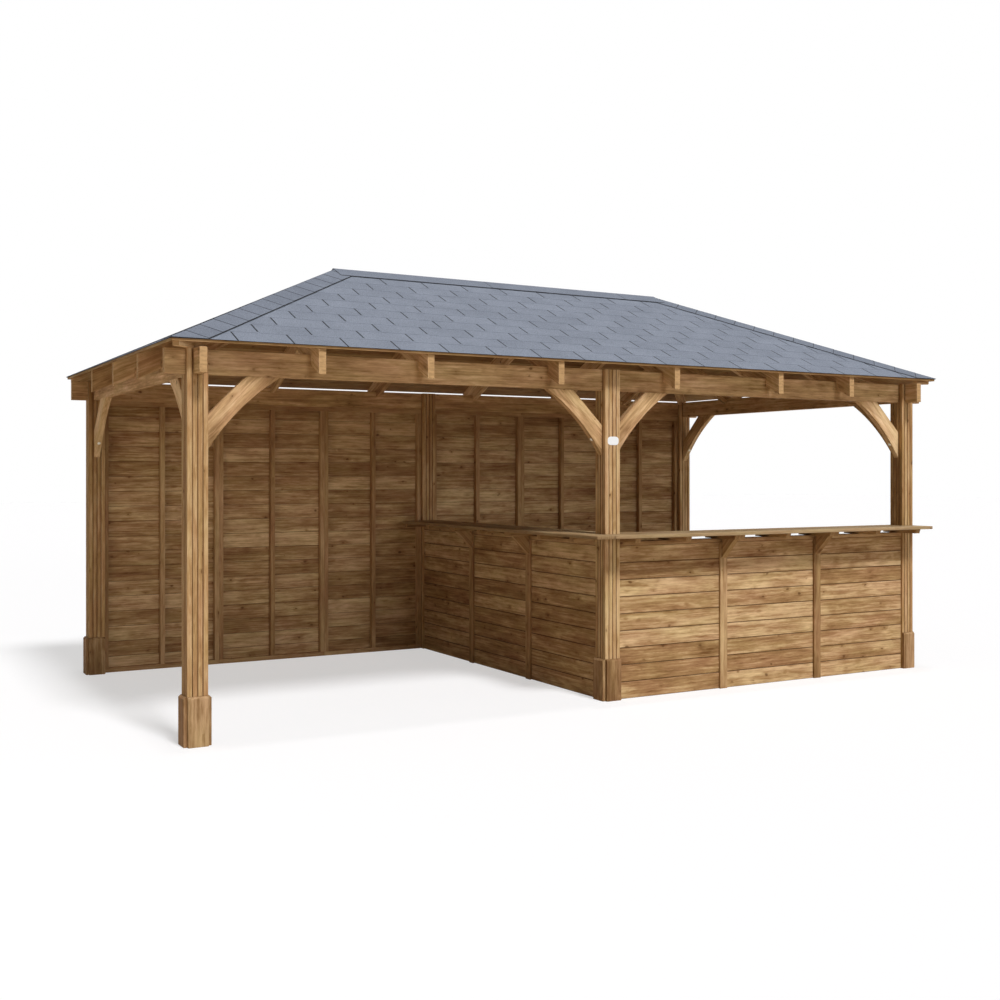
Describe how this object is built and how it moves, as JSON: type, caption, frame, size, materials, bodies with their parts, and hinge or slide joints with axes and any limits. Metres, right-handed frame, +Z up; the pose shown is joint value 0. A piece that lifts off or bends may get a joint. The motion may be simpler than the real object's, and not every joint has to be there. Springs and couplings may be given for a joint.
{
  "type": "open garden pavilion with bar",
  "caption": "Open timber garden pavilion with a hipped shingle roof, closed back wall and an L-shaped bar counter round its right bay.",
  "frame": {"origin": "centre of the footprint, on the ground", "axes": "+X along the front from the open bay to the bar, +Y from the front to the back wall, +Z up"},
  "size_m": [6.06, 3.285, 3.0457],
  "materials": {
    "laminated_posts": "brown tinted, planed, matt",
    "foot_boards": "brown tinted, planed, matt",
    "roof_timber": "brown tinted, planed, matt",
    "wall_boards": "brown tinted, planed, matt",
    "roof_boards": "brown tinted, planed, matt",
    "counter_boards": "brown tinted, planed, matt",
    "bitumen_shingles": "mineral grit, matt"
  },
  "bodies": {
    "root": {"back_panel_1": "wall_boards", "back_panel_2": "wall_boards", "back_panel_3": "wall_boards", "back_panel_4": "wall_boards", "back_panel_5": "wall_boards", "back_panel_6": "wall_boards", "bar_front_panel_1": "wall_boards", "bar_front_panel_2": "wall_boards", "bar_front_panel_3": "wall_boards", "bar_side_panel_1": "wall_boards", "bar_side_panel_2": "wall_boards", "bar_side_panel_3": "wall_boards", "beam_back": "roof_timber", "beam_front": "roof_timber", "beam_left": "roof_timber", "beam_right": "roof_timber", "braces_left_bay": "roof_timber", "braces_left_side": "roof_timber", "braces_right_bay": "roof_timber", "braces_right_side": "roof_timber", "counter_bearers_front": "wall_boards", "counter_bearers_side": "wall_boards", "counter_brackets": "wall_boards", "counter_front": "counter_boards", "counter_side": "counter_boards", "foot_boards": "foot_boards", "hip_rafters": "roof_timber", "joint_battens": "wall_boards", "post_back_left": "laminated_posts", "post_back_middle": "laminated_posts", "post_back_right": "laminated_posts", "post_front_left": "laminated_posts", "post_front_middle": "laminated_posts", "post_front_right": "laminated_posts", "rafters_back": "roof_timber", "rafters_front": "roof_timber", "rafters_left": "roof_timber", "rafters_right": "roof_timber", "ridge_and_hip_caps": "bitumen_shingles", "ridge_board": "roof_timber", "roof_boards_back": "roof_boards", "roof_boards_front": "roof_boards", "roof_boards_left": "roof_boards", "roof_boards_right": "roof_boards", "roof_shingles": "bitumen_shingles"}
  },
  "joints": []
}
